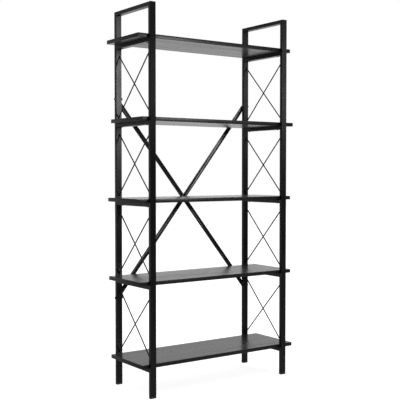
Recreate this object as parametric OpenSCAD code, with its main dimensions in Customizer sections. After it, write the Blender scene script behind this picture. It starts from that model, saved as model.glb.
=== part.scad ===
// Open metal bookcase. Two welded end frames of rectangular tube carry five boards, which run
// out past the frames at both sides. Crossed rods fill each bay of an end frame, and two flat
// bars brace the back. A plastic cap with a levelling foot is pushed into the end of each post.
// Millimetres. X runs left to right, Y front to back, Z up. The origin is on the floor,
// midway between the four posts.

/* [Frame] */
// Width over the posts
frame_w = 810; // [500:5:1200]
// Depth over the posts
frame_d = 328; // [240:2:500]
// Floor to the top of the lowest board
first_board_top = 154; // [90:1:300]
// Rise from the first board to the second, top to top
rise_1 = 380; // [250:1:460]
// Rise from the second board to the third
rise_2 = 377; // [250:1:460]
// Rise from the third board to the fourth
rise_3 = 374; // [250:1:460]
// Rise from the fourth board to the fifth
rise_4 = 373; // [250:1:460]
// Top of the highest board to the top of the frame
crown_h = 142; // [60:1:300]

/* [Tube] */
// Wide side of the tube, left to right
tube_w = 30; // [24:1:50]
// Narrow side of the tube
tube_t = 18; // [18:1:40]
// Wall of the tube
tube_wall = 1.5; // [1:0.1:2.5]
// Outer corner radius of the tube
tube_corner = 1.5; // [0.5:0.1:2.5]

/* [Boards] */
// How far a board runs out past the posts at each side
board_overhang = 45; // [35:1:150]
// Thickness of a board
board_t = 18; // [12:1:30]
// Gap between a board and the posts in front of it and behind it
board_gap = 1; // [0.5:0.1:4]
// How far the first board sits to the right of the middle
shift_1 = 12; // [-25:1:25]
// The same for the second board
shift_2 = 1; // [-25:1:25]
// The same for the third board
shift_3 = -2; // [-25:1:25]
// The same for the fourth board
shift_4 = 15; // [-25:1:25]
// The same for the fifth board
shift_5 = -6; // [-25:1:25]

/* [Side rods] */
// Diameter of a side rod
rod_d = 6; // [3:0.5:8]
// Height of a rod's low end above the board beside it
rod_above_board = 8; // [5:1:40]
// Drop of a rod's high end below the rail above it
rod_below_rail = 34; // [6:1:60]

/* [Back brace] */
// Height of the upper brace bolts above the floor
brace_top_z = 1385; // [1150:1:1600]
// Height of the lower brace bolts above the floor
brace_low_z = 424; // [200:1:700]
// Width of a brace bar
bar_w = 24; // [14:1:30]
// Thickness of a brace bar
bar_t = 2; // [1.5:0.1:4]
// Gap between the rear posts and the nearer bar
bar_gap = 4; // [0:0.5:10]
// Radius of the rounded end of a bar's tab
tab_end_r = 8; // [6:0.5:9]
// Bolt shank diameter
bolt_d = 6; // [4:0.5:8]
// Clearance round a bolt shank, on the radius
bolt_play = 0.2; // [0.1:0.05:0.5]
// Width of a bolt head or nut across its flats
hex_af = 10; // [7:0.5:13]
// Height of a bolt head
head_h = 4; // [3:0.5:6]
// Thickness of a nut
nut_h = 5; // [3:0.5:7]
// Outer diameter of a washer
washer_d = 12; // [9:0.5:16]
// Thickness of a washer
washer_t = 1.6; // [0.8:0.1:2]
// Length of bolt that shows past a nut
bolt_past_nut = 2; // [1:0.5:5]

/* [Board screws] */
// Distance from the face of the frame to the nearest board screw
screw_from_face = 50; // [35:1:100]
// Screw shank diameter
screw_d = 4; // [3:0.5:5]
// Clearance round the shank where it passes through a rail, on the radius
screw_play = 0.25; // [0.1:0.05:0.5]
// Depth that the screw reaches into the board
screw_bite = 12; // [8:0.5:14]
// Room left above the tip of the screw
pilot_room = 1; // [0.5:0.5:3]
// Screw head diameter
screw_head_d = 8; // [6:0.5:10]
// Screw head height
screw_head_h = 2.4; // [1.5:0.1:3.5]

/* [Feet] */
// Height of a foot cap's base below the tube
cap_floor = 8; // [7:0.5:15]
// Gap between the plug of a foot cap and the inside of the tube
cap_fit = 0.1; // [0.05:0.05:0.4]
// Height of that plug above the base
plug_h = 18; // [10:1:30]
// Diameter of a levelling pad
pad_d = 14; // [11:0.5:15]
// Thickness of a levelling pad
pad_h = 4.6; // [4:0.1:8]
// Height of a pad above the floor when it is screwed right in
pad_lift = 0.4; // [0.2:0.1:1]
// Gap round and above a pad in its recess
pad_room = 0.8; // [0.4:0.1:1.5]
// Diameter of a levelling stud
stud_d = 6; // [5:0.5:8]
// Length of a levelling stud above its pad
stud_l = 28; // [24:1:45]
// Running clearance on the radius of the stud in its nut and in its pad
stud_play = 0.05; // [0.02:0.01:0.1]
// Diameter of the disc at the foot of a stud
disc_d = 8; // [7:0.5:10]
// Thickness of that disc
disc_h = 1.5; // [1:0.1:2.5]
// Diameter of the neck between the disc and the stud
neck_d = 5; // [4:0.5:6]
// Outer diameter of the threaded insert in a cap
insert_d = 10; // [8:0.5:12]
// Thickness of the pad under that disc
pad_skin = 1.4; // [1:0.1:2]
// Width across the flats of the key socket in the foot of a stud
key_af = 3; // [2.5:0.5:3.5]
// Depth of that socket
key_depth = 2.5; // [1.5:0.5:3]

/* [Hidden] */
LEFT = -1;
RIGHT = 1;
FRONT = -1;
REAR = 1;
RISING = 1;
FALLING = -1;
SIDES = [LEFT, RIGHT];
ENDS = [FRONT, REAR];
rises = [rise_1, rise_2, rise_3, rise_4];
shifts = [shift_1, shift_2, shift_3, shift_4, shift_5];
// Top of board i, counted from 0 at the bottom
function board_top(i) = i == 0 ? first_board_top : board_top(i - 1) + rises[i - 1];
// Underside of board i, which is the top of the rail below it
function rail_top(i) = board_top(i) - board_t;
board_count = len(shifts);
frame_h = board_top(board_count - 1) + crown_h;
post_x = frame_w / 2 - tube_w / 2;
post_y = frame_d / 2 - tube_t / 2;
// Clear depth between the front and rear posts
inner_d = frame_d - 2 * tube_t;
// Inner side face of the posts
inner_x = frame_w / 2 - tube_w;
board_l = frame_w + 2 * board_overhang;
board_d = inner_d - 2 * board_gap;
screw_y = frame_d / 2 - screw_from_face;
bolt_hole_r = bolt_d / 2 + bolt_play;
recess_h = pad_lift + pad_h + pad_room / 2;
// Top of the plug inside the tube
plug_top = cap_floor + plug_h;
plug_w = tube_w - 2 * (tube_wall + cap_fit);
plug_d = tube_t - 2 * (tube_wall + cap_fit);
// Gap between the top of a pad and the shoulder of its stud
neck_gap = 0.3;
// Extra length of a cutting shape past the face that it cuts
over = 1;
frame_black = "#1b1b1d";
board_black = "#29292b";
plastic_black = "#141415";
zinc_black = "#303033";
steel = "#9a9b9e";

// ---- Shared shapes ----

// Rectangle with round corners
module round_rect(w, t, r) {
    square([w - 2 * r, t], center = true);
    square([w, t - 2 * r], center = true);
    for (x = [-1, 1], y = [-1, 1])
        translate([x * (w / 2 - r), y * (t / 2 - r)]) circle(r = r, $fn = 24);
}

// Cross-section of the frame tube, wide side along X
module tube_section() {
    difference() {
        round_rect(tube_w, tube_t, tube_corner);
        square([tube_w - 2 * tube_wall, tube_t - 2 * tube_wall], center = true);
    }
}

// A tube that lies front to back, with its middle at the origin
module tube_along_y(length) {
    rotate([90, 0, 0]) linear_extrude(length, center = true) tube_section();
}

// Extrudes a (Y, Z) outline along X, half to each side
module along_x(width) {
    rotate([90, 0, 90]) linear_extrude(width, center = true) children();
}

// Wedge that cuts the 45 degree mitre at the top corner of an end frame. The wedge lies above
// the mitre for a post and below it for the top rail.
module mitre_wedge(end, above) {
    outer = end * (frame_d / 2 + over);
    inner = end * (frame_d / 2 - tube_t - over);
    high = frame_h + over;
    low = frame_h - tube_t - over;
    along_x(tube_w + 2 * over)
        polygon([[outer, high], [inner, low], above ? [inner, high] : [outer, low]]);
}

// Hexagon bar that rises from the origin
module hex_bar(height) {
    cylinder(d = hex_af / cos(30), h = height, $fn = 6);
}

// Washer disc with its hole
module washer() {
    difference() {
        cylinder(d = washer_d, h = washer_t, $fn = 48);
        translate([0, 0, -over]) cylinder(r = bolt_hole_r, h = washer_t + 2 * over, $fn = 48);
    }
}

// Nut with a plain bore that is as wide as the bolt
module nut() {
    difference() {
        hex_bar(nut_h);
        translate([0, 0, -over]) cylinder(d = bolt_d, h = nut_h + 2 * over, $fn = 48);
    }
}

// ---- End frames ----

// Upright, mitred at the top, standing on the base of its foot cap
module post(side, end) {
    color(frame_black) difference() {
        translate([side * post_x, end * post_y, cap_floor])
            linear_extrude(frame_h - cap_floor) tube_section();
        translate([side * post_x, 0, 0]) mitre_wedge(end, true);
        if (end == REAR)
            for (z = [brace_low_z, brace_top_z])
                translate([side * post_x, post_y, z]) rotate([0, 90, 0])
                    cylinder(r = bolt_hole_r, h = tube_w + 2 * over, center = true, $fn = 48);
    }
}

// Rail that closes an end frame at the top
module top_rail(side) {
    color(frame_black) translate([side * post_x, 0, 0]) difference() {
        translate([0, 0, frame_h - tube_t / 2]) tube_along_y(frame_d);
        for (end = ENDS) mitre_wedge(end, false);
    }
}

// Rail under board i, with a hole at each board screw
module shelf_rail(side, i) {
    color(frame_black) translate([side * post_x, 0, rail_top(i) - tube_t / 2]) difference() {
        tube_along_y(inner_d);
        for (y = [-screw_y, screw_y]) translate([0, y, 0])
            cylinder(d = screw_d + 2 * screw_play, h = tube_t + 2 * over, center = true, $fn = 32);
    }
}

// One of the two rods that cross in bay i. A rising rod climbs towards the back. The two rods
// lie side by side and touch where they cross.
module side_rod(side, i, way) {
    low = board_top(i) + rod_above_board;
    high = rail_top(i + 1) - tube_t - rod_below_rail;
    slope = atan2(high - low, inner_d);
    reach = norm([inner_d, high - low]) + 4 * rod_d;
    color(frame_black)
        translate([side * post_x + way * rod_d / 2, 0, (low + high) / 2]) intersection() {
            rotate([way * (slope - 90), 0, 0]) cylinder(d = rod_d, h = reach, center = true, $fn = 32);
            cube([2 * rod_d, inner_d, reach], center = true);
        }
}

// ---- Boards ----

// Board i with the blind holes for its four screws
module shelf_board(i) {
    color(board_black) difference() {
        translate([shifts[i], 0, board_top(i) - board_t / 2])
            cube([board_l, board_d, board_t], center = true);
        for (side = SIDES, y = [-screw_y, screw_y])
            translate([side * post_x, y, rail_top(i) - over])
                cylinder(d = screw_d, h = screw_bite + pilot_room + over, $fn = 32);
    }
}

// The screws that come up through the rails into the boards
module shelf_screws() {
    color(zinc_black)
        for (i = [0:board_count - 1], side = SIDES, y = [-screw_y, screw_y])
            translate([side * post_x, y, rail_top(i) - tube_t]) {
                translate([0, 0, -screw_head_h]) cylinder(d = screw_head_d, h = screw_head_h, $fn = 32);
                cylinder(d = screw_d, h = tube_t + screw_bite, $fn = 32);
            }
}

// ---- Back brace ----

// Middle plane of a bar, behind the posts. The rising bar lies in front of the falling one.
function bar_y(way) = frame_d / 2 + bar_gap + (way == RISING ? 0.5 : 1.5) * bar_t;
// Depth from that plane forward to the bolt
function tab_run(way) = bar_y(way) - post_y;
// Climb of a bar for each millimetre along its flattened length
function bar_climb(way) = (brace_top_z - brace_low_z) / (2 * (inner_x + tab_run(way)));

// A flat bar. At each end it is bent forward along the inner side face of a rear post, where
// the bolt holds it. A rising bar goes from low on the left to high on the right.
module brace_bar(way) {
    climb = bar_climb(way);
    middle_z = (brace_top_z + brace_low_z) / 2;
    // Half the bar's height, measured straight up
    half_up = bar_w / 2 * norm([1, climb]);
    rise = climb * inner_x;
    color(frame_black) difference() {
        union() {
            translate([0, bar_y(way), middle_z]) rotate([90, 0, 0])
                linear_extrude(bar_t, center = true)
                    polygon([
                        [-inner_x, -way * rise - half_up], [inner_x, way * rise - half_up],
                        [inner_x, way * rise + half_up], [-inner_x, -way * rise + half_up]
                    ]);
            for (side = SIDES)
                translate([side * (inner_x - bar_t / 2), 0, 0])
                    along_x(bar_t) tab_outline(way, side * way);
        }
        for (side = SIDES)
            translate([side * inner_x, post_y, side * way > 0 ? brace_top_z : brace_low_z])
                rotate([0, 90, 0])
                    cylinder(r = bolt_hole_r, h = 4 * bar_t, center = true, $fn = 48);
        translate([0, bar_y(way), middle_z]) rotate([90, 0, 0])
            cylinder(r = bolt_hole_r, h = 2 * bar_t, center = true, $fn = 48);
    }
}

// Outline of a tab seen from the side, from the bar's rear face forward to its round end. The
// upper tabs climb on towards the bolt and the lower ones drop.
module tab_outline(way, up) {
    climb = up * bar_climb(way);
    hole = [post_y, up > 0 ? brace_top_z : brace_low_z];
    back = bar_y(way) + bar_t / 2;
    bend = hole + (back - post_y) * [1, -climb];
    half_up = bar_w / 2 * norm([1, climb]);
    across = [climb, 1] / norm([1, climb]);
    translate(hole) circle(r = tab_end_r, $fn = 48);
    polygon([
        bend - [0, half_up], hole - tab_end_r * across,
        hole + tab_end_r * across, bend + [0, half_up]
    ]);
}

// Puts a fastener at each end of the brace, with its Z axis pointing out of the frame
module at_brace_bolts(x) {
    for (side = SIDES, z = [brace_low_z, brace_top_z])
        translate([side * x, post_y, z]) rotate([0, side * 90, 0]) children();
}

// Bolts through the rear posts, put in from outside
module brace_bolts() {
    tip_x = inner_x - bar_t - nut_h - bolt_past_nut;
    head_x = frame_w / 2 + washer_t;
    color(zinc_black) {
        at_brace_bolts(head_x) hex_bar(head_h);
        at_brace_bolts(tip_x) cylinder(d = bolt_d, h = head_x - tip_x, $fn = 48);
    }
}

module brace_washers() {
    color(zinc_black) at_brace_bolts(frame_w / 2) washer();
}

module brace_nuts() {
    color(zinc_black) at_brace_bolts(inner_x - bar_t - nut_h) nut();
}

// Bolt through both bars where they cross, put in from the front
module brace_centre_bolt() {
    color(zinc_black)
        translate([0, frame_d / 2 + bar_gap, (brace_top_z + brace_low_z) / 2]) rotate([90, 0, 0]) {
            hex_bar(head_h);
            tail = 2 * bar_t + nut_h + bolt_past_nut;
            translate([0, 0, -tail]) cylinder(d = bolt_d, h = tail, $fn = 48);
        }
}

module brace_centre_nut() {
    color(zinc_black)
        translate([0, frame_d / 2 + bar_gap + 2 * bar_t, (brace_top_z + brace_low_z) / 2])
            rotate([-90, 0, 0]) nut();
}

// ---- Feet ----

// Puts a foot piece under a post
module under_post(side, end) {
    translate([side * post_x, end * post_y, 0]) children();
}

// Plastic foot in the end of a post: a base as wide as the tube, a plug inside the tube and a
// recess below for the levelling pad
module foot_cap(side, end) {
    color(plastic_black) under_post(side, end) difference() {
        union() {
            linear_extrude(cap_floor) round_rect(tube_w, tube_t, tube_corner);
            translate([0, 0, (cap_floor + plug_top) / 2 - over / 2])
                cube([plug_w, plug_d, plug_h + over], center = true);
        }
        translate([0, 0, -over]) cylinder(d = pad_d + 2 * pad_room, h = recess_h + over, $fn = 64);
        cylinder(d = insert_d, h = plug_top + over, $fn = 48);
    }
}

// Threaded inserts in the caps, with plain bores
module foot_inserts() {
    color(steel) for (side = SIDES, end = ENDS) under_post(side, end) difference() {
        translate([0, 0, recess_h]) cylinder(d = insert_d, h = plug_top - recess_h, $fn = 48);
        cylinder(r = stud_d / 2 + stud_play, h = plug_top + over, $fn = 48);
    }
}

// Pad that meets the floor, turned on a lathe, with a closed groove for the disc of its stud
module foot_pad(side, end) {
    edge = 0.6;
    color(plastic_black) under_post(side, end) translate([0, 0, pad_lift]) difference() {
        rotate_extrude($fn = 64) polygon([
            [0, 0], [pad_d / 2 - edge, 0], [pad_d / 2, edge], [pad_d / 2, pad_h - edge],
            [pad_d / 2 - edge, pad_h], [0, pad_h]
        ]);
        translate([0, 0, pad_skin])
            cylinder(r = disc_d / 2 + stud_play, h = disc_h + 2 * stud_play, $fn = 64);
        translate([0, 0, -over]) cylinder(r = neck_d / 2 + stud_play, h = pad_h + 2 * over, $fn = 64);
    }
}

// Stud that turns in its pad and screws in the insert, with a key socket in its foot
module foot_stud(side, end) {
    disc_z = pad_lift + pad_skin + stud_play;
    shank_z = pad_lift + pad_h + neck_gap;
    color(steel) under_post(side, end) difference() {
        union() {
            translate([0, 0, disc_z]) cylinder(d = disc_d, h = disc_h, $fn = 48);
            translate([0, 0, disc_z]) cylinder(d = neck_d, h = shank_z - disc_z + over, $fn = 48);
            translate([0, 0, shank_z]) cylinder(d = stud_d, h = stud_l, $fn = 48);
        }
        translate([0, 0, disc_z - over])
            cylinder(d = key_af / cos(30), h = key_depth + over, $fn = 6);
    }
}

post(LEFT, FRONT);  // post_front_left
post(LEFT, REAR);  // post_rear_left
post(RIGHT, FRONT);  // post_front_right
post(RIGHT, REAR);  // post_rear_right
top_rail(LEFT);  // top_rail_left
top_rail(RIGHT);  // top_rail_right
shelf_rail(LEFT, 0);  // shelf_rail_left_1
shelf_rail(LEFT, 1);  // shelf_rail_left_2
shelf_rail(LEFT, 2);  // shelf_rail_left_3
shelf_rail(LEFT, 3);  // shelf_rail_left_4
shelf_rail(LEFT, 4);  // shelf_rail_left_5
shelf_rail(RIGHT, 0);  // shelf_rail_right_1
shelf_rail(RIGHT, 1);  // shelf_rail_right_2
shelf_rail(RIGHT, 2);  // shelf_rail_right_3
shelf_rail(RIGHT, 3);  // shelf_rail_right_4
shelf_rail(RIGHT, 4);  // shelf_rail_right_5
side_rod(LEFT, 0, RISING);  // side_rod_left_1_rising
side_rod(LEFT, 0, FALLING);  // side_rod_left_1_falling
side_rod(LEFT, 1, RISING);  // side_rod_left_2_rising
side_rod(LEFT, 1, FALLING);  // side_rod_left_2_falling
side_rod(LEFT, 2, RISING);  // side_rod_left_3_rising
side_rod(LEFT, 2, FALLING);  // side_rod_left_3_falling
side_rod(LEFT, 3, RISING);  // side_rod_left_4_rising
side_rod(LEFT, 3, FALLING);  // side_rod_left_4_falling
side_rod(RIGHT, 0, RISING);  // side_rod_right_1_rising
side_rod(RIGHT, 0, FALLING);  // side_rod_right_1_falling
side_rod(RIGHT, 1, RISING);  // side_rod_right_2_rising
side_rod(RIGHT, 1, FALLING);  // side_rod_right_2_falling
side_rod(RIGHT, 2, RISING);  // side_rod_right_3_rising
side_rod(RIGHT, 2, FALLING);  // side_rod_right_3_falling
side_rod(RIGHT, 3, RISING);  // side_rod_right_4_rising
side_rod(RIGHT, 3, FALLING);  // side_rod_right_4_falling
shelf_board(0);  // shelf_board_1
shelf_board(1);  // shelf_board_2
shelf_board(2);  // shelf_board_3
shelf_board(3);  // shelf_board_4
shelf_board(4);  // shelf_board_5
shelf_screws();
brace_bar(RISING);  // brace_bar_rising
brace_bar(FALLING);  // brace_bar_falling
brace_bolts();
brace_washers();
brace_nuts();
brace_centre_bolt();
brace_centre_nut();
foot_cap(LEFT, FRONT);  // foot_cap_front_left
foot_cap(LEFT, REAR);  // foot_cap_rear_left
foot_cap(RIGHT, FRONT);  // foot_cap_front_right
foot_cap(RIGHT, REAR);  // foot_cap_rear_right
foot_inserts();
foot_pad(LEFT, FRONT);  // foot_pad_front_left
foot_stud(LEFT, FRONT);  // foot_stud_front_left
foot_pad(LEFT, REAR);  // foot_pad_rear_left
foot_stud(LEFT, REAR);  // foot_stud_rear_left
foot_pad(RIGHT, FRONT);  // foot_pad_front_right
foot_stud(RIGHT, FRONT);  // foot_stud_front_right
foot_pad(RIGHT, REAR);  // foot_pad_rear_right
foot_stud(RIGHT, REAR);  // foot_stud_rear_right
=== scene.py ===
# %% [markdown]
# # An open metal bookcase
#
# Two welded end frames of rectangular tube carry five black boards. Thin rods cross in every bay
# of an end frame, and two flat bars cross behind the boards. Everything is black, so what tells
# the pieces apart is how each one takes the light: the powder coat, the woodgrain boards, the
# moulded feet and the plated fasteners.
#
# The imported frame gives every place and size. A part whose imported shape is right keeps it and
# gets a finish. The others are modelled again here with the edges, bends and threads that a plain
# solid leaves out.

# %% Load the frame
import math

import bmesh
import bpy
from mathutils import Matrix, Vector


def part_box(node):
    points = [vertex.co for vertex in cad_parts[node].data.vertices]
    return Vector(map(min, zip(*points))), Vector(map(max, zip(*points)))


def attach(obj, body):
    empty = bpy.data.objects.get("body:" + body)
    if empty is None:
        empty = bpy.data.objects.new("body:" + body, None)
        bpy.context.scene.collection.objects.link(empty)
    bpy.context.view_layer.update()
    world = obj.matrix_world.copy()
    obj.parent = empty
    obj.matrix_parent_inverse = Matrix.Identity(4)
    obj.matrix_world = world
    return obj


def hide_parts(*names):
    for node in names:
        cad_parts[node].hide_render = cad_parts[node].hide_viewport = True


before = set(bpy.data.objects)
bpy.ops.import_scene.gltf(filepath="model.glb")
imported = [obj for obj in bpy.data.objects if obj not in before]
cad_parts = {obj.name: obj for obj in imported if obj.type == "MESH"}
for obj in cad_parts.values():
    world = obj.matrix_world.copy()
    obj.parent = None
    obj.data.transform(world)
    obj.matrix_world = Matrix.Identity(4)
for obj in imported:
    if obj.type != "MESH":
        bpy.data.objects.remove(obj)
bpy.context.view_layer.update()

# %% [markdown]
# ## Measures
#
# A few boxes of the frame give most of what follows: how wide and deep a tube is, where the posts
# stand and how high each board lies. Reading them once keeps the later steps short, and a change
# to the frame moves everything that is built on it.

# %% Read the frame's measures
SIDES = {"left": -1, "right": 1}
ENDS = {"front": -1, "rear": 1}
BAYS = (1, 2, 3, 4)
BOARDS = (1, 2, 3, 4, 5)


def middle_of(node):
    """Centre of a node's box."""
    low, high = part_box(node)
    return (low + high) / 2


def size_of(node):
    """Width, depth and height of a node's box."""
    low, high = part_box(node)
    return high - low


tube_w, tube_t, _ = size_of("post_front_right")
post_x = middle_of("post_rear_right").x
post_y = middle_of("post_rear_right").y
inner_x = post_x - tube_w / 2
inner_y = post_y - tube_t / 2
board_tops = [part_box(f"shelf_board_{n}")[1].z for n in BOARDS]
print("tube", round(tube_w, 4), round(tube_t, 4), "posts at", round(post_x, 4), round(post_y, 4))

# %% [markdown]
# ## Camera
#
# The bookcase is seen from the left of its front, at about chest height, through a moderate
# telephoto lens. The camera stands level with the middle shelf, so that shelf is almost edge on,
# the ones above show their undersides and the ones below show their tops.

# %% Place the camera
camera_data = bpy.data.cameras.new("studio_camera")
camera_data.lens = 73.455
camera_data.sensor_width = 36.0
camera = bpy.data.objects.new("studio_camera", camera_data)
bpy.context.scene.collection.objects.link(camera)
camera.location = (-2.346, -3.2999, 1.0369)
turn_right = math.radians(35.227)
look_down = math.radians(2.01)
camera.rotation_euler = (math.pi / 2 - look_down, 0, -turn_right)
bpy.context.scene.camera = camera
print("lens", camera_data.lens, "from", [round(c, 3) for c in camera.location])

# %% [markdown]
# ## Floor and light
#
# Black satin shows little but its surroundings, so the studio does most of the work, and it is
# built for what each face mirrors. A board seen at a low angle mirrors the wall behind it, which is
# bright. The faces that look at the camera mirror the room in front, which is dimmer and darkest
# just under the horizon. Three colour ramps over the height of a direction describe that room: one
# for its front half, and one for each side of its rear half. The backdrop itself stays plain white.
# So does the floor, which glows and is left out of reflections, so that only faint contact shadows
# mark it. Soft boxes draw the highlights on the posts. The strongest one passes over the front left
# post, as a photographer's flag would, so that the rear left one stands out beside it.

# %% Lay the floor
scene = bpy.context.scene
scene.view_settings.view_transform = "Standard"

FLOOR_SIZE = 30.0
floor_mesh = bmesh.new()
bmesh.ops.create_grid(floor_mesh, x_segments=1, y_segments=1, size=FLOOR_SIZE / 2)
floor_data = bpy.data.meshes.new("studio_floor")
floor_mesh.to_mesh(floor_data)
floor_mesh.free()
floor = bpy.data.objects.new("studio_floor", floor_data)
floor.visible_glossy = False
scene.collection.objects.link(floor)

floor_paint = bpy.data.materials.new("pale_floor")
floor_paint.use_nodes = True
floor_shader = floor_paint.node_tree.nodes["Principled BSDF"]
floor_shader.inputs["Base Color"].default_value = (0.50, 0.50, 0.50, 1)
floor_shader.inputs["Roughness"].default_value = 0.9
floor_shader.inputs["Specular IOR Level"].default_value = 0.0
floor_shader.inputs["Emission Color"].default_value = (1, 1, 1, 1)
floor_shader.inputs["Emission Strength"].default_value = 0.85
floor_data.materials.append(floor_paint)
print("floor", FLOOR_SIZE, "m square")

# %% Build the room
# Brightness of the room against the height of a direction, from straight down (-1) to up (1)
FRONT_ROOM = ((-1.0, 0.65), (-0.25, 0.50), (-0.13, 0.06), (-0.03, 0.02), (0.03, 0.07), (0.2, 0.12),
              (1.0, 0.7))
REAR_LEFT_ROOM = ((-1.0, 0.25), (-0.17, 0.32), (-0.10, 0.70), (-0.05, 0.50), (0.12, 0.36),
                  (1.0, 0.5))
REAR_RIGHT_ROOM = ((-1.0, 0.7), (-0.15, 0.72), (-0.07, 0.90), (0.0, 2.0), (0.04, 1.8), (0.12, 0.76),
                   (0.22, 0.62), (1.0, 0.8))

world = bpy.data.worlds.new("pale_room")
world.use_nodes = True
scene.world = world
air = world.node_tree.nodes
wires = world.node_tree.links


def room_ramp(stops, height):
    """Grey levels over the height of a direction."""
    ramp = air.new("ShaderNodeValToRGB")
    steps = ramp.color_ramp.elements
    while len(steps) < len(stops):
        steps.new(0.5)
    for step, (level, grey) in zip(steps, stops):
        step.position = (level + 1) / 2
        step.color = (grey, grey, grey, 1)
    wires.new(height, ramp.inputs["Fac"])
    return ramp.outputs["Color"]


def spread(value, low, high):
    """Stretches a number from the range low to high onto 0 to 1."""
    stretched = air.new("ShaderNodeMapRange")
    stretched.inputs["From Min"].default_value = low
    stretched.inputs["From Max"].default_value = high
    wires.new(value, stretched.inputs["Value"])
    return stretched.outputs["Result"]


def pick(choice, first, second):
    """Mixes two colours: the first where choice is 0 and the second where it is 1."""
    mix = air.new("ShaderNodeMix")
    mix.data_type = "RGBA"
    wires.new(choice, mix.inputs[0])
    for socket, colour in zip(mix.inputs[6:8], (first, second)):
        if isinstance(colour, tuple):
            socket.default_value = colour
        else:
            wires.new(colour, socket)
    return mix.outputs[2]


direction = air.new("ShaderNodeSeparateXYZ")
wires.new(air.new("ShaderNodeTexCoord").outputs["Generated"], direction.inputs["Vector"])
height = spread(direction.outputs["Z"], -1, 1)
to_the_right = spread(direction.outputs["X"], -0.25, 0.20)
behind = spread(direction.outputs["Y"], -0.15, 0.25)
rear_left = room_ramp(REAR_LEFT_ROOM, height)
rear_room = pick(to_the_right, rear_left, room_ramp(REAR_RIGHT_ROOM, height))
room = pick(behind, room_ramp(FRONT_ROOM, height), rear_room)
seen_directly = air.new("ShaderNodeLightPath").outputs["Is Camera Ray"]
backdrop = pick(seen_directly, room, (1, 1, 1, 1))
wires.new(backdrop, air["Background"].inputs["Color"])
print("room levels", len(FRONT_ROOM), len(REAR_LEFT_ROOM), len(REAR_RIGHT_ROOM))


# %% Hang the soft boxes
def soft_box(name, place, aim, width, height, power):
    """A rectangular soft light that faces a point. Returns the light."""
    data = bpy.data.lights.new(name, "AREA")
    data.shape = "RECTANGLE"
    data.size, data.size_y = width, height
    data.energy = power
    light = bpy.data.objects.new(name, data)
    light.location = place
    light.rotation_euler = (Vector(aim) - Vector(place)).to_track_quat("-Z", "Y").to_euler()
    scene.collection.objects.link(light)
    return light


POST_AIM = (0, 0, 1.4)
soft_box("overhead_box", (0.0, -0.6, 4.2), (0, 0, 0.8), 3.5, 3.5, 120)
soft_box("centre_box", (2.33, -4.35, 1.93), POST_AIM, 0.5, 0.4, 2.5)
soft_box("side_box", (3.67, -3.93, 1.95), POST_AIM, 0.7, 1.0, 5.5)
front_box = soft_box("front_box", (1.96, -5.26, 2.08), POST_AIM, 1.0, 1.1, 82)
spared = bpy.data.collections.new("spared_by_front_box")
spared.objects.link(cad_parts["post_front_left"])
front_box.light_linking.receiver_collection = spared
spared.collection_objects[0].light_linking.link_state = "EXCLUDE"

# %% [markdown]
# ## Powder coat
#
# The steel is sprayed with powder and baked. The film flows a little before it sets, which leaves
# a fine orange peel, and it is satin rather than wet gloss. Noise at two scales does this: a
# millimetre-sized bump for the peel, and a slow drift of the roughness along the tube. The noise
# reads object coordinates, so it stays on the metal and never stretches.


# %% Make the powder coat
def new_finish(name, specular=0.5, metallic=0.0):
    """A material with a Principled shader. Returns the material, its nodes, links and shader."""
    finish = bpy.data.materials.new(name)
    finish.use_nodes = True
    nodes = finish.node_tree.nodes
    shader = nodes["Principled BSDF"]
    shader.inputs["Specular IOR Level"].default_value = specular
    shader.inputs["Metallic"].default_value = metallic
    return finish, nodes, finish.node_tree.links, shader


def object_space(nodes, links, stretch=(1, 1, 1)):
    """Object coordinates, stretched by a Mapping node."""
    source = nodes.new("ShaderNodeTexCoord")
    mapping = nodes.new("ShaderNodeMapping")
    mapping.inputs["Scale"].default_value = stretch
    links.new(source.outputs["Object"], mapping.inputs["Vector"])
    return mapping.outputs["Vector"]


def noise(nodes, links, space, scale, detail=2.0, rough=0.5, warp=0.0):
    """Noise pattern, 0 to 1."""
    pattern = nodes.new("ShaderNodeTexNoise")
    pattern.inputs["Scale"].default_value = scale
    pattern.inputs["Detail"].default_value = detail
    pattern.inputs["Roughness"].default_value = rough
    pattern.inputs["Distortion"].default_value = warp
    links.new(space, pattern.inputs["Vector"])
    return pattern.outputs["Fac"]


def between(nodes, links, value, low, high, start=0.3, end=0.7):
    """Turns a pattern into a number between low and high."""
    ranged = nodes.new("ShaderNodeMapRange")
    numbers = {"From Min": start, "From Max": end, "To Min": low, "To Max": high}
    for socket, number in numbers.items():
        ranged.inputs[socket].default_value = number
    links.new(value, ranged.inputs["Value"])
    return ranged.outputs["Result"]


def blend_colours(nodes, links, value, dark, light, start=0.3, end=0.7):
    """Turns a pattern into a colour between dark and light."""
    ramp = nodes.new("ShaderNodeValToRGB")
    ramp.color_ramp.elements[0].position = start
    ramp.color_ramp.elements[1].position = end
    ramp.color_ramp.elements[0].color = (*dark, 1)
    ramp.color_ramp.elements[1].color = (*light, 1)
    links.new(value, ramp.inputs["Fac"])
    return ramp.outputs["Color"]


def relief(nodes, links, shader, height, distance, strength):
    """Bump of a real height in metres."""
    bump = nodes.new("ShaderNodeBump")
    bump.inputs["Strength"].default_value = strength
    bump.inputs["Distance"].default_value = distance
    links.new(height, bump.inputs["Height"])
    links.new(bump.outputs["Normal"], shader.inputs["Normal"])


def make_powder_coat():
    finish, nodes, links, shader = new_finish("black_powder_coat", specular=0.28)
    space = object_space(nodes, links)
    cloud = noise(nodes, links, space, 260, 3)
    colour = blend_colours(nodes, links, cloud, (0.0018, 0.0018, 0.0020), (0.0045, 0.0045, 0.0048))
    links.new(colour, shader.inputs["Base Color"])
    drift = noise(nodes, links, space, 7, 4, 0.6)
    links.new(between(nodes, links, drift, 0.20, 0.31), shader.inputs["Roughness"])
    peel = noise(nodes, links, space, 520, 1.5)
    relief(nodes, links, shader, peel, 0.00005, 0.6)
    return finish


powder_coat = make_powder_coat()
print("finish", powder_coat.name)

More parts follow.
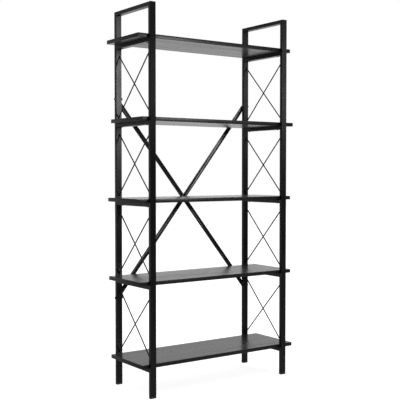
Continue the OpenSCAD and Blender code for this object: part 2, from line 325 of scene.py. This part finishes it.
# %% [markdown]
# ## Woodgrain melamine
#
# The boards are particleboard faced with a black printed foil that is pressed with a grain: short
# pores along the length, and wide faint bands like sawn oak. Stretching object coordinates turns
# round noise into grain. The pores are a little rougher and deeper than the wood between them, so
# one pattern drives colour, roughness and bump together. The edge bands are cut from another roll,
# so they get a grain of their own that runs along each edge.

# %% Make the board finishes
# Share of the pores in the grain, the rest being the wide bands
PORE_SHARE = 0.45
# Part of the grain pattern over which its colour and roughness change
GRAIN_RANGE = (0.38, 0.62)


def make_melamine(name, grain_along, dark, light, smooth, rough, gloss=0.5):
    """Woodgrain foil. grain_along is 0 for grain along X and 1 for grain along Y."""
    finish, nodes, links, shader = new_finish(name, specular=gloss)
    wide = [22.0, 22.0, 22.0]
    wide[grain_along] = 1.1
    fine = [620.0, 620.0, 620.0]
    fine[grain_along] = 22.0
    bands = noise(nodes, links, object_space(nodes, links, wide), 1.0, 5, 0.6, 0.8)
    pores = noise(nodes, links, object_space(nodes, links, fine), 1.0, 3, 0.55)
    band_part = nodes.new("ShaderNodeMath")
    band_part.operation = "MULTIPLY"
    band_part.inputs[1].default_value = 1 - PORE_SHARE
    links.new(bands, band_part.inputs[0])
    mix = nodes.new("ShaderNodeMath")
    mix.operation = "MULTIPLY_ADD"
    mix.inputs[1].default_value = PORE_SHARE
    links.new(pores, mix.inputs[0])
    links.new(band_part.outputs["Value"], mix.inputs[2])
    grain = mix.outputs["Value"]
    colour = blend_colours(nodes, links, grain, dark, light, *GRAIN_RANGE)
    links.new(colour, shader.inputs["Base Color"])
    links.new(between(nodes, links, grain, rough, smooth, *GRAIN_RANGE), shader.inputs["Roughness"])
    relief(nodes, links, shader, between(nodes, links, pores, 0, 1, 0.35, 0.5), 0.00004, 0.38)
    return finish


INK, ASH = (0.0085, 0.0088, 0.0094), (0.0255, 0.0262, 0.0278)
face_foil = make_melamine("black_woodgrain_face", 0, INK, ASH, 0.22, 0.32)
BAND_INK, BAND_ASH = (0.0032, 0.0034, 0.0036), (0.0095, 0.0098, 0.0105)
long_band = make_melamine("long_edge_band", 0, BAND_INK, BAND_ASH, 0.26, 0.38, 0.24)
short_band = make_melamine("short_edge_band", 1, BAND_INK, BAND_ASH, 0.26, 0.38, 0.24)
print("finishes", face_foil.name, long_band.name, short_band.name)

# %% [markdown]
# ## Plastic and plating
#
# The foot caps and pads are moulded in black plastic with a fine spark-eroded grain, duller than
# the powder coat. The brace fasteners and board screws are zinc plated and dyed black, which
# leaves a dark, slightly uneven metal. The levelling studs and their inserts are bright zinc.


# %% Make the plastic and the plating
def make_plastic():
    finish, nodes, links, shader = new_finish("moulded_black_plastic", specular=0.45)
    space = object_space(nodes, links)
    cloud = noise(nodes, links, space, 90, 3)
    colour = blend_colours(nodes, links, cloud, (0.007, 0.007, 0.0075), (0.014, 0.014, 0.0145))
    links.new(colour, shader.inputs["Base Color"])
    grain = noise(nodes, links, space, 1800, 2, 0.6)
    links.new(between(nodes, links, grain, 0.42, 0.56), shader.inputs["Roughness"])
    relief(nodes, links, shader, grain, 0.00004, 0.7)
    return finish


def make_plating(name, dark, light, smooth, rough):
    finish, nodes, links, shader = new_finish(name, metallic=1.0)
    space = object_space(nodes, links)
    cloud = noise(nodes, links, space, 420, 4, 0.6)
    links.new(blend_colours(nodes, links, cloud, dark, light), shader.inputs["Base Color"])
    links.new(between(nodes, links, cloud, rough, smooth), shader.inputs["Roughness"])
    relief(nodes, links, shader, noise(nodes, links, space, 2600, 2), 0.00002, 0.5)
    return finish


plastic = make_plastic()
black_zinc = make_plating("black_zinc_plate", (0.035, 0.035, 0.038), (0.075, 0.076, 0.082), 0.26, 0.40)
bright_zinc = make_plating("bright_zinc_plate", (0.50, 0.51, 0.52), (0.68, 0.69, 0.72), 0.22, 0.36)
print("finishes", plastic.name, black_zinc.name, bright_zinc.name)

# %% [markdown]
# ## The welded tubes
#
# Posts, top rails and shelf rails are plain lengths of rectangular tube with rounded corners,
# mitres at the top and drilled holes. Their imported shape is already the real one, so each keeps
# it and only gets the powder coat.

# %% Coat the tubes
tubes = [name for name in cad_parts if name.startswith(("post_", "top_rail_", "shelf_rail_"))]
for name in tubes:
    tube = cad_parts[name]
    tube.data.materials.clear()
    tube.data.materials.append(powder_coat)
print("tubes coated", len(tubes))

# %% [markdown]
# ## From a bmesh to a piece
#
# Every new piece ends the same way: its mesh goes into an object at the origin, gets its finishes,
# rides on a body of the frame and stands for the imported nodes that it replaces. Corners sharper
# than a set angle stay crisp and the rest is shaded smooth.

# %% Write the helper that finishes a piece
SHARP_ANGLE = math.radians(38)
made = {}


def finish_piece(name, bm, finishes, nodes=(), body="bookcase"):
    """Turns a bmesh into a shown piece and frees it."""
    mesh = bpy.data.meshes.new(name)
    bm.to_mesh(mesh)
    bm.free()
    mesh.shade_smooth()
    mesh.set_sharp_from_angle(angle=SHARP_ANGLE)
    for finish in finishes:
        mesh.materials.append(finish)
    piece = bpy.data.objects.new(name, mesh)
    scene.collection.objects.link(piece)
    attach(piece, body)
    if nodes:
        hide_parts(*nodes)
    made[name] = len(mesh.polygons)
    return piece


# %% [markdown]
# ## Boards
#
# A board starts as a cube at the size of its packed box. All its edges are bevelled by half a
# millimetre, as a trimmed edge band is. The band itself is a millimetre thick and shows on the
# top and bottom as a thin frame, so both faces are inset by that much and a hairline groove is
# sunk where the band meets the foil.

# %% Build the boards
EDGE_ROUND = 0.0005
BAND_T = 0.0010
SEAM_W = 0.00012
SEAM_DEEP = 0.00010
FACE, LONG, SHORT = 0, 1, 2


def build_board(number):
    low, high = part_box(f"shelf_board_{number}")
    bm = bmesh.new()
    bmesh.ops.create_cube(bm, size=1)
    bmesh.ops.scale(bm, vec=high - low, verts=bm.verts)
    bmesh.ops.translate(bm, vec=(low + high) / 2, verts=bm.verts)
    bmesh.ops.bevel(bm, geom=bm.edges[:], affect="EDGES", offset=EDGE_ROUND, segments=3,
                    profile=0.5, material=-1)
    bm.normal_update()
    for face in bm.faces:
        face.material_index = SHORT if abs(face.normal.x) > 0.6 else LONG
    flats = [face for face in bm.faces if abs(face.normal.z) > 0.999]
    bmesh.ops.inset_individual(bm, faces=flats, thickness=BAND_T - EDGE_ROUND, use_even_offset=True)
    for face in flats:
        face.material_index = FACE
    for depth in (-SEAM_DEEP, SEAM_DEEP):
        bmesh.ops.inset_individual(bm, faces=flats, thickness=SEAM_W, depth=depth, use_even_offset=True)
    bmesh.ops.recalc_face_normals(bm, faces=bm.faces)
    return finish_piece(f"board_{number}", bm, (face_foil, long_band, short_band),
                        [f"shelf_board_{number}"])


for number in BOARDS:
    build_board(number)
print("boards", [made[f"board_{n}"] for n in BOARDS], "faces each")

# %% [markdown]
# ## Side rods
#
# Each bay of an end frame is stiffened by two thin round rods, which climb to opposite posts and
# touch where they cross. A rod is a long cylinder laid along its slope and trimmed flush with the
# faces of the posts by two cutting planes, which is also how a fitter would cut it.

# %% Build the rods
ROD_SEGMENTS = 20


def rod_ends(node):
    """Centres of the two cut ends of a rod, front one first."""
    low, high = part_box(node)
    ends = []
    for y in (low.y, high.y):
        heights = [v.co.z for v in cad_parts[node].data.vertices if abs(v.co.y - y) < 1e-5]
        ends.append(Vector(((low.x + high.x) / 2, y, (min(heights) + max(heights)) / 2)))
    return ends


def trim(bm, point, outward):
    """Cuts away what lies past a plane and closes the cut."""
    geometry = bm.verts[:] + bm.edges[:] + bm.faces[:]
    bmesh.ops.bisect_plane(bm, geom=geometry, plane_co=point, plane_no=outward, clear_outer=True)
    rim = [edge for edge in bm.edges if edge.is_boundary]
    bmesh.ops.contextual_create(bm, geom=rim)


def build_rod(side, bay, way):
    node = f"side_rod_{side}_{bay}_{way}"
    front, rear = rod_ends(node)
    along = rear - front
    radius = size_of(node).x / 2
    bm = bmesh.new()
    bmesh.ops.create_cone(bm, cap_ends=True, segments=ROD_SEGMENTS, radius1=radius, radius2=radius,
                          depth=along.length + 6 * radius)
    lay = Matrix.Translation((front + rear) / 2) @ along.to_track_quat("Z", "X").to_matrix().to_4x4()
    bmesh.ops.transform(bm, matrix=lay, verts=bm.verts)
    trim(bm, front, (0, -1, 0))
    trim(bm, rear, (0, 1, 0))
    bmesh.ops.recalc_face_normals(bm, faces=bm.faces)
    return finish_piece(f"rod_{side}_{bay}_{way}", bm, [powder_coat], [node])


for side in SIDES:
    for bay in BAYS:
        for way in ("rising", "falling"):
            build_rod(side, bay, way)
print("rods", sum(name.startswith("rod_") for name in made))

# %% [markdown]
# ## Weld beads
#
# The frame is welded before it is coated. A bead runs under every rail where it meets a post, and
# a small nugget holds each end of a rod. A bead is a cylinder cut into rings along its length,
# whose rings swell and shrink like the ripples of a real weld. A nugget is a squashed sphere,
# trimmed where it meets the post.

# %% Build the weld beads
BEAD_R = 0.0017
BEAD_PITCH = 0.0022
RIPPLE = 0.13
NUGGET_R = 0.0040
NUGGET_DEEP = 0.0017
NUGGET_SEGMENTS = 16


def add_part(bm, part):
    """Adds a finished part to a bmesh and frees the part."""
    mesh = bpy.data.meshes.new("part")
    part.to_mesh(mesh)
    part.free()
    bm.from_mesh(mesh)
    bpy.data.meshes.remove(mesh)


def lay_bead(bm, centre, length):
    """Rippled bead along X."""
    bead = bmesh.new()
    bmesh.ops.create_cone(bead, cap_ends=True, segments=10, radius1=BEAD_R, radius2=BEAD_R, depth=length)
    long_edges = [e for e in bead.edges if abs(e.verts[0].co.z - e.verts[1].co.z) > length / 2]
    bmesh.ops.subdivide_edges(bead, edges=long_edges, cuts=4 * round(length / BEAD_PITCH))
    for vert in bead.verts:
        ripple = 1 + RIPPLE * math.cos(2 * math.pi * vert.co.z / BEAD_PITCH)
        taper = min(1, 0.55 + (length / 2 - abs(vert.co.z)) / (2 * BEAD_R))
        vert.co.x *= ripple * taper
        vert.co.y *= ripple * taper
    lay = Matrix.Translation(centre) @ Matrix.Rotation(math.pi / 2, 4, "Y")
    bmesh.ops.transform(bead, matrix=lay, verts=bead.verts)
    add_part(bm, bead)


def drop_nugget(bm, centre, outward, slope):
    """Squashed sphere on the face of a post, drawn out along the slanted end of the rod."""
    ball = bmesh.new()
    bmesh.ops.create_uvsphere(ball, u_segments=NUGGET_SEGMENTS, v_segments=9, radius=NUGGET_R)
    half_step = Matrix.Rotation(math.pi / NUGGET_SEGMENTS, 4, "Z")
    shape = Matrix.Diagonal((1.0, NUGGET_DEEP / NUGGET_R, 1 / math.cos(slope), 1))
    bmesh.ops.transform(ball, matrix=Matrix.Translation(centre) @ shape @ half_step, verts=ball.verts)
    trim(ball, centre, (0, -outward, 0))
    bmesh.ops.remove_doubles(ball, verts=ball.verts, dist=NUGGET_R / 50)
    add_part(bm, ball)


def build_welds(side):
    bm = bmesh.new()
    sign = SIDES[side]
    rails = [f"shelf_rail_{side}_{n}" for n in BOARDS] + [f"top_rail_{side}"]
    for rail in rails:
        for end in ENDS.values():
            corner = Vector((sign * post_x, end * inner_y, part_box(rail)[0].z))
            lay_bead(bm, corner, tube_w - 2 * BEAD_R)
    for bay in BAYS:
        for way in ("rising", "falling"):
            front, rear = rod_ends(f"side_rod_{side}_{bay}_{way}")
            slope = math.atan2(abs(rear.z - front.z), rear.y - front.y)
            drop_nugget(bm, front, 1, slope)
            drop_nugget(bm, rear, -1, slope)
    bmesh.ops.recalc_face_normals(bm, faces=bm.faces)
    return finish_piece(f"welds_{side}", bm, [powder_coat])


for side in SIDES:
    build_welds(side)
print("weld faces", made["welds_left"], made["welds_right"])

# %% [markdown]
# ## Brace bars
#
# A brace bar is cut from flat steel, drilled, and then folded forward at both ends so that its
# tabs lie on the inner sides of the rear posts. It is made here the same way. The outline and the
# three holes are drawn flat and filled, cuts are made across the two fold zones, and every point
# is then moved onto the folded path. Points that the cuts leave almost on top of each other are
# merged first, so that the bevel has room. Solidify gives the steel its thickness, and the bevel
# breaks the sheared edges.

# %% Draw and fold the brace bars
BAR_W = 0.024
BAR_T = 0.002
FOLD_R = 0.004
FOLD_STEPS = 6
TAB_R = 0.008
ARC_STEPS = 12
BOLT_R = 0.003
HOLE_R = 0.0032
BAR_EDGE = 0.00035
SHORT_EDGE = 0.0003

washer_low, washer_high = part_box("brace_washers")
washer_r = (washer_high.y - washer_low.y) / 2
bolt_y = middle_of("brace_washers").y
bolt_heights = (washer_low.z + washer_r, washer_high.z - washer_r)


def fold(along, rear_y):
    """Place in plan of a point on the outer face, by its distance along the flat blank."""
    straight = inner_x - FOLD_R
    past = max(0, abs(along) - straight)
    turn = min(past / FOLD_R, math.pi / 2)
    reach = min(abs(along), straight) + FOLD_R * math.sin(turn)
    depth = FOLD_R * (1 - math.cos(turn)) + past - FOLD_R * turn
    return math.copysign(reach, along), rear_y - depth


def blank_edge(half_length, climb, half_up):
    """Points round the flat blank. Its ends are round and its tabs narrow towards them."""
    run = Vector((1, climb)).normalized()
    across = Vector((-run.y, run.x))
    bend = inner_x - FOLD_R + FOLD_R * math.pi / 4
    points = []
    for way in (1, -1):
        hole = way * half_length * Vector((1, climb))
        for step in range(ARC_STEPS + 1):
            angle = math.pi * (step / ARC_STEPS - 0.5)
            points.append(hole + way * TAB_R * (math.cos(angle) * run + math.sin(angle) * across))
        points.append(way * bend * Vector((1, climb)) + Vector((0, way * half_up)))
        points.append(-way * bend * Vector((1, climb)) + Vector((0, way * half_up)))
    return points


def build_bar(way):
    node = f"brace_bar_{way}"
    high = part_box(node)[1]
    straight = inner_x - FOLD_R
    half_length = straight + FOLD_R * math.pi / 2 + (high.y - FOLD_R - bolt_y)
    climb = (bolt_heights[1] - bolt_heights[0]) / 2 / half_length
    centre_z = sum(bolt_heights) / 2
    half_up = BAR_W / 2 * math.hypot(1, climb)
    if way == "falling":
        climb = -climb

    bm = bmesh.new()
    outline = blank_edge(half_length, climb, half_up)
    corners = [bm.verts.new((point.x, 0, point.y)) for point in outline]
    for first, second in zip(corners, corners[1:] + corners[:1]):
        bm.edges.new((first, second))
    upright = Matrix.Rotation(math.pi / 2, 4, "X")
    for along in (-half_length, 0, half_length):
        lay = Matrix.Translation((along, 0, along * climb)) @ upright
        bmesh.ops.create_circle(bm, segments=32, radius=HOLE_R, matrix=lay)
    bmesh.ops.triangle_fill(bm, use_beauty=True, edges=bm.edges[:], normal=(0, 1, 0))
    for side in SIDES.values():
        for step in range(FOLD_STEPS + 1):
            along = side * (straight + FOLD_R * math.pi / 2 * step / FOLD_STEPS)
            bmesh.ops.bisect_plane(bm, geom=bm.verts[:] + bm.edges[:] + bm.faces[:],
                                   plane_co=(along, 0, 0), plane_no=(1, 0, 0))
    bmesh.ops.remove_doubles(bm, verts=bm.verts, dist=SHORT_EDGE)
    for vert in bm.verts:
        x, y = fold(vert.co.x, high.y)
        vert.co = (x, y, centre_z + vert.co.z)
    bmesh.ops.recalc_face_normals(bm, faces=bm.faces)
    bm.normal_update()
    web = [face for face in bm.faces if abs(face.calc_center_median().x) < straight]
    if sum(face.normal.y for face in web) < 0:
        bmesh.ops.reverse_faces(bm, faces=bm.faces)
    bmesh.ops.dissolve_limit(bm, angle_limit=math.radians(1), verts=bm.verts, edges=bm.edges)
    bmesh.ops.solidify(bm, geom=bm.faces[:], thickness=BAR_T)
    bmesh.ops.recalc_face_normals(bm, faces=bm.faces)
    rims = [edge for edge in bm.edges if edge.calc_face_angle(0) > math.radians(60)]
    bmesh.ops.bevel(bm, geom=rims, affect="EDGES", offset=BAR_EDGE, segments=2, profile=0.5,
                    material=-1)
    piece = finish_piece(f"flat_bar_{way}", bm, [powder_coat], [node])
    reach = [round(max(v.co[i] for v in piece.data.vertices), 4) for i in range(3)]
    print(piece.name, "climbs", round(climb, 4), "reaches", reach)
    print("packed", [round(c, 4) for c in high])


for way in ("rising", "falling"):
    build_bar(way)

# %% [markdown]
# ## Turned shapes
#
# Bolts, nuts, washers, screws, studs and pads are all turned about an axis. A turned shape is a
# grid rolled round the axis: each row of the grid becomes a ring with its own reach and height.
# A reach may also be a function of the angle, which gives hexagons, ribs and threads with the
# same few lines. Where the rings run back to the first one the shape has a bore.

# %% Write the helpers for turned shapes
TURN_SEGMENTS = 48
MERGE = 1e-7
# Width of the flat end of a chamfered hexagon, as a share of its width across the flats
CHAMFER_SHARE = 0.95
# Rings to one turn of a thread, and the depth of the thread as a share of its pitch
THREAD_STEPS = 8
THREAD_DEPTH = 0.61


def turned(rings, segments=TURN_SEGMENTS, closed=False):
    """Rolls (reach, height) rings about Z. A reach or height may be a function of the angle."""
    loops = rings + rings[:1] if closed else rings
    rows = len(loops) - 1
    bm = bmesh.new()
    bmesh.ops.create_grid(bm, x_segments=segments, y_segments=rows, size=0.5)
    for vert in bm.verts:
        angle = 2 * math.pi * (vert.co.x + 0.5)
        ring = loops[round((vert.co.y + 0.5) * rows)]
        reach, height = (part(angle) if callable(part) else part for part in ring)
        vert.co = (reach * math.cos(angle), reach * math.sin(angle), height)
    bmesh.ops.remove_doubles(bm, verts=bm.verts, dist=MERGE)
    bmesh.ops.recalc_face_normals(bm, faces=bm.faces)
    return bm


def hexagon(flats):
    """Reach of a hexagon with a corner at angle 0, by its width across the flats."""
    return lambda angle: flats / 2 / math.cos(angle % (math.pi / 3) - math.pi / 6)


def chamfer(flats, height, way):
    """Height of the curved edge where a cone cuts the corners of a hexagon."""
    across = hexagon(flats)
    rim = CHAMFER_SHARE * flats / 2
    return lambda angle: height - way * (across(angle) - rim) * math.tan(math.radians(30))


def thread(radius, pitch, low, high):
    """Rings of a rolled thread, which fades out over the first and last turn."""
    steps = round((high - low) / pitch * THREAD_STEPS)
    rings = []
    for step in range(steps + 1):
        height = low + (high - low) * step / steps
        fade = min(1, step / THREAD_STEPS, (steps - step) / THREAD_STEPS)
        depth = THREAD_DEPTH * pitch * fade / 2

        def reach(angle, turn=2 * math.pi * height / pitch, depth=depth):
            return radius - depth * (1 + math.cos(turn - angle))

        rings.append((reach, height))
    return rings


def place(bm, part, where, facing=Vector((0, 0, 1))):
    """Adds a turned part to a bmesh, with its axis along one of the frame's axes."""
    lay = Matrix.Translation(where) @ facing.to_track_quat("Z", "X").to_matrix().to_4x4()
    bmesh.ops.transform(part, matrix=lay, verts=part.verts)
    add_part(bm, part)


print("hexagon reach", round(hexagon(0.010)(0), 5), round(hexagon(0.010)(math.pi / 6), 5))

# %% [markdown]
# ## Brace fasteners
#
# Four M6 bolts go through the rear posts from outside, with a washer under each head and a nut on
# each tab, and a fifth bolt joins the bars where they cross. Heads and nuts get the curved chamfer
# that a cone leaves on a hexagon. The threads are real relief, because their tips show past the
# nuts.

# %% Build the bolts, washers and nuts
PITCH = 0.001
THREAD_L = 0.009
TIP = 0.0006
WASHER_EDGE = 0.00015
BORE_EDGE = 0.00035

head_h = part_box("brace_bolts")[1].x - washer_high.x
washer_t = washer_high.x - (post_x + tube_w / 2)
flats = size_of("brace_centre_nut").z
nut_h = size_of("brace_centre_nut").y
nut_face_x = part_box("brace_nuts")[1].x
tip_x = min(abs(v.co.x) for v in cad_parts["brace_bolts"].data.vertices)


def bolt(shank):
    """Hexagon bolt whose tip is at height 0, with its head above the shank."""
    top = shank + head_h
    rim = CHAMFER_SHARE * flats / 2
    head = hexagon(flats)
    return turned([(0, 0), (BOLT_R - TIP, 0), (BOLT_R - TIP / 4, TIP)]
                  + thread(BOLT_R, PITCH, TIP + PITCH / 4, THREAD_L)
                  + [(BOLT_R, shank), (head, shank), (head, chamfer(flats, top, 1)),
                     (rim, top), (0, top)])


def nut():
    """Hexagon nut that stands on height 0."""
    rim = CHAMFER_SHARE * flats / 2
    side = hexagon(flats)
    return turned([(BOLT_R + BORE_EDGE, 0), (rim, 0), (side, chamfer(flats, 0, -1)),
                   (side, chamfer(flats, nut_h, 1)), (rim, nut_h),
                   (BOLT_R + BORE_EDGE, nut_h), (BOLT_R, nut_h - BORE_EDGE), (BOLT_R, BORE_EDGE)],
                  closed=True)


def washer():
    """Flat washer that lies on height 0."""
    return turned([(HOLE_R, 0), (washer_r - WASHER_EDGE, 0), (washer_r, WASHER_EDGE),
                   (washer_r, washer_t - WASHER_EDGE), (washer_r - WASHER_EDGE, washer_t),
                   (HOLE_R, washer_t)], closed=True)


def build_set(name, node, part, reach):
    """Puts the same part at the four ends of the brace, facing out of the frame."""
    bm = bmesh.new()
    for side in SIDES.values():
        for z in bolt_heights:
            place(bm, part(), (side * reach, bolt_y, z), Vector((side, 0, 0)))
    return finish_piece(name, bm, [black_zinc], [node])


build_set("bolt_set", "brace_bolts", lambda: bolt(washer_high.x - tip_x), tip_x)
build_set("washer_set", "brace_washers", washer, post_x + tube_w / 2)
build_set("nut_set", "brace_nuts", nut, nut_face_x - nut_h)

crossing = middle_of("brace_centre_nut")
bolt_front, bolt_rear = (corner.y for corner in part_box("brace_centre_bolt"))
centre_bolt = bmesh.new()
centre_shank = bolt_rear - bolt_front - head_h
place(centre_bolt, bolt(centre_shank), (crossing.x, bolt_rear, crossing.z), Vector((0, -1, 0)))
finish_piece("centre_bolt", centre_bolt, [black_zinc], ["brace_centre_bolt"])
centre_nut = bmesh.new()
nut_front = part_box("brace_centre_nut")[0].y
place(centre_nut, nut(), (crossing.x, nut_front, crossing.z), Vector((0, 1, 0)))
finish_piece("centre_nut", centre_nut, [black_zinc], ["brace_centre_nut"])
print("fastener faces", [made[name] for name in ("bolt_set", "washer_set", "nut_set")])

# %% [markdown]
# ## Board screws
#
# Four screws come up through the rails into each board. Only their pan heads show, from below, so
# the head gets a domed rim and a key socket. The socket is part of the same turned shape: its
# rings are hexagons that run down into the head before the rings come back out over the rim.

# %% Build the board screws
SCREW_R = 0.002
SCREW_PITCH = 0.00175
SCREW_UP = 0.030
SCREW_GRIP = 0.0185
SOCKET_FLATS = 0.0025
SOCKET_DEEP = 0.0013
HEAD_STEPS = 6

screw_low, screw_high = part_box("shelf_screws")
pan_r = screw_high.x - post_x
pan_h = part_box("shelf_rail_left_1")[0].z - screw_low.z
screw_y = screw_high.y - pan_r


def screw():
    """Pan head screw. Height 0 is the underside of the rail, and the head hangs below it."""
    socket = hexagon(SOCKET_FLATS)
    flat_r = 0.55 * pan_r
    rings = [(0, SOCKET_DEEP - pan_h), (socket, SOCKET_DEEP - pan_h), (socket, -pan_h)]
    for step in range(HEAD_STEPS + 1):
        angle = math.pi / 2 * step / HEAD_STEPS
        height = -pan_h * (0.2 + 0.8 * math.cos(angle))
        rings.append((flat_r + (pan_r - flat_r) * math.sin(angle), height))
    rings += [(pan_r, 0), (SCREW_R, 0)]
    rings += thread(SCREW_R, SCREW_PITCH, SCREW_GRIP, SCREW_UP - SCREW_R)
    return turned(rings + [(SCREW_R / 4, SCREW_UP), (0, SCREW_UP)], segments=24)


screws = bmesh.new()
for number in BOARDS:
    rail_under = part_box(f"shelf_rail_left_{number}")[0].z
    for side in SIDES.values():
        for y in (-screw_y, screw_y):
            place(screws, screw(), (side * post_x, y, rail_under))
finish_piece("screw_set", screws, [black_zinc], ["shelf_screws"])
print("screw heads", round(pan_r, 4), round(pan_h, 4), "faces", made["screw_set"])

# %% [markdown]
# ## Foot caps
#
# A moulded cap is pushed into the end of each post: a base as wide as the tube and a plug that
# grips inside it. The base and the plug are cubes with rounded uprights, opened at the top and
# bottom, and the bore is a turned shape. Three flat rings, filled between an outer and an inner
# edge, join the three walls into one closed solid. A fine bevel at the top of the base leaves the
# hairline that shows where the cap meets the post.

# %% Build the foot caps
CORNER_R = 0.0015
PLUG_CORNER = 0.0010
PLUG_GRIP = 0.0016
RECESS_R = 0.0078
RECESS_H = 0.0054
INSERT_R = 0.0050
CAP_EDGE = 0.0006
CAP_SEAM = 0.00025


def open_box(bm, width, depth, low, high, corner):
    """Four walls with rounded uprights, open above and below."""
    box = bmesh.new()
    bmesh.ops.create_cube(box, size=1)
    bmesh.ops.scale(box, vec=(width, depth, high - low), verts=box.verts)
    bmesh.ops.translate(box, vec=(0, 0, (low + high) / 2), verts=box.verts)
    uprights = [e for e in box.edges if abs(e.verts[0].co.z - e.verts[1].co.z) > (high - low) / 2]
    bmesh.ops.bevel(box, geom=uprights, affect="EDGES", offset=corner, segments=4, profile=0.5,
                    material=-1)
    box.normal_update()
    lids = [face for face in box.faces if abs(face.normal.z) > 0.9]
    bmesh.ops.delete(box, geom=lids, context="FACES_ONLY")
    add_part(bm, box)


def at_level(edge, level):
    """True for an edge whose two ends lie at a height."""
    return all(abs(v.co.z - level) < MERGE for v in edge.verts)


def edge_on_outline(edge, level, bore):
    """True for an edge of the box outline at a level, and false for the bore and the fill."""
    if not at_level(edge, level) or edge.calc_face_angle(0) < math.radians(60):
        return False
    return all(v.co.xy.length > bore + MERGE for v in edge.verts)


def build_cap(side, end):
    node = f"foot_cap_{end}_{side}"
    base_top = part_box(f"post_{end}_{side}")[0].z
    plug_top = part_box(node)[1].z
    bm = bmesh.new()
    open_box(bm, tube_w, tube_t, 0, base_top, CORNER_R)
    open_box(bm, tube_w - 2 * PLUG_GRIP, tube_t - 2 * PLUG_GRIP, base_top, plug_top, PLUG_CORNER)
    add_part(bm, turned([(RECESS_R, 0), (RECESS_R, RECESS_H), (INSERT_R, RECESS_H),
                         (INSERT_R, plug_top)]))
    for level in (0, base_top, plug_top):
        rims = [e for e in bm.edges if e.is_boundary and at_level(e, level)]
        bmesh.ops.triangle_fill(bm, use_beauty=True, edges=rims)
    bmesh.ops.recalc_face_normals(bm, faces=bm.faces)
    for level, bore, size in ((0, RECESS_R, CAP_EDGE), (base_top, RECESS_R, CAP_SEAM),
                              (plug_top, INSERT_R, CAP_EDGE)):
        rims = [e for e in bm.edges if edge_on_outline(e, level, bore)]
        bmesh.ops.bevel(bm, geom=rims, affect="EDGES", offset=size, segments=2, profile=0.5,
                        material=-1, clamp_overlap=True)
    where = Vector((SIDES[side] * post_x, ENDS[end] * post_y, 0))
    bmesh.ops.translate(bm, vec=where, verts=bm.verts)
    return finish_piece(f"end_cap_{end}_{side}", bm, [plastic], [node])


for side in SIDES:
    for end in ENDS:
        build_cap(side, end)
print("cap faces", made["end_cap_front_left"])

# %% [markdown]
# ## Levelling feet
#
# Inside each cap a steel insert holds a threaded stud, and the stud turns in a plastic pad that
# meets the floor. The disc at the foot of the stud sits in a groove inside the pad, so the pad
# stays on when the bookcase is lifted. The rim of the pad is ribbed for the fingers: its reach
# swings in and out with the angle.

# %% Build the pads, studs and inserts
PLAY = 0.00005
PAD_EDGE = 0.0006
PAD_SKIN = 0.0014
DISC_R = 0.0040
DISC_H = 0.0015
DISC_EDGE = 0.0002
NECK_R = 0.0025
STUD_L = 0.028
KEY_FLATS = 0.003
KEY_DEEP = 0.0025
RIBS = 24
RIB_DEEP = 0.0003
GROOVE = 0.0004


def pad(low, high, radius):
    """Ribbed pad with a neck hole and a closed groove for the disc of the stud."""
    def rim(angle):
        return radius - RIB_DEEP * (1 + math.cos(RIBS * angle)) / 2

    neck = NECK_R + PLAY
    disc = DISC_R + PLAY
    skin = low + PAD_SKIN
    roof = skin + DISC_H + 2 * PLAY
    return turned([(neck, low), (radius - PAD_EDGE, low), (rim, low + PAD_EDGE),
                   (rim, high - PAD_EDGE), (radius - PAD_EDGE, high), (neck, high), (neck, roof),
                   (disc, roof), (disc, skin), (neck, skin)], segments=4 * RIBS, closed=True)


def stud(low, high):
    """Threaded stud with its neck and disc, and a key socket in its foot."""
    socket = hexagon(KEY_FLATS)
    shank = high - STUD_L
    return turned([(0, low + KEY_DEEP), (socket, low + KEY_DEEP), (socket, low),
                   (DISC_R - DISC_EDGE, low), (DISC_R, low + DISC_EDGE),
                   (DISC_R, low + DISC_H - DISC_EDGE),
                   (DISC_R - DISC_EDGE, low + DISC_H), (NECK_R, low + DISC_H), (NECK_R, shank)]
                  + thread(BOLT_R, PITCH, shank, high - TIP)
                  + [(BOLT_R - TIP, high), (0, high)])


def insert(low, high):
    """Threaded insert with two grooves that lock it in the plastic."""
    bore = BOLT_R + PLAY
    rings = [(bore + BORE_EDGE, low), (INSERT_R - GROOVE, low), (INSERT_R, low + GROOVE)]
    for share in (1 / 3, 2 / 3):
        middle = low + share * (high - low)
        rings += [(INSERT_R, middle - 2 * GROOVE), (INSERT_R - GROOVE, middle - GROOVE),
                  (INSERT_R - GROOVE, middle + GROOVE), (INSERT_R, middle + 2 * GROOVE)]
    rings += [(INSERT_R, high - GROOVE), (INSERT_R - GROOVE, high), (bore + BORE_EDGE, high),
              (bore, high - BORE_EDGE), (bore, low + BORE_EDGE)]
    return turned(rings, closed=True)


inserts = bmesh.new()
insert_low, insert_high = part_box("foot_inserts")
for side in SIDES:
    for end in ENDS:
        where = Vector((SIDES[side] * post_x, ENDS[end] * post_y, 0))
        corner = f"{end}_{side}"
        place(inserts, insert(insert_low.z, insert_high.z), where)
        pad_low, pad_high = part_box(f"foot_pad_{corner}")
        glide = bmesh.new()
        place(glide, pad(pad_low.z, pad_high.z, (pad_high.x - pad_low.x) / 2), where)
        finish_piece(f"glide_{corner}", glide, [plastic], [f"foot_pad_{corner}"],
                     f"pad_{corner}")
        stud_low, stud_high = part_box(f"foot_stud_{corner}")
        spindle = bmesh.new()
        place(spindle, stud(stud_low.z, stud_high.z), where)
        finish_piece(f"levelling_stud_{corner}", spindle, [bright_zinc],
                     [f"foot_stud_{corner}"], f"stud_{corner}")
finish_piece("insert_set", inserts, [bright_zinc], ["foot_inserts"])
print("feet", made["glide_front_left"], made["levelling_stud_front_left"], made["insert_set"])
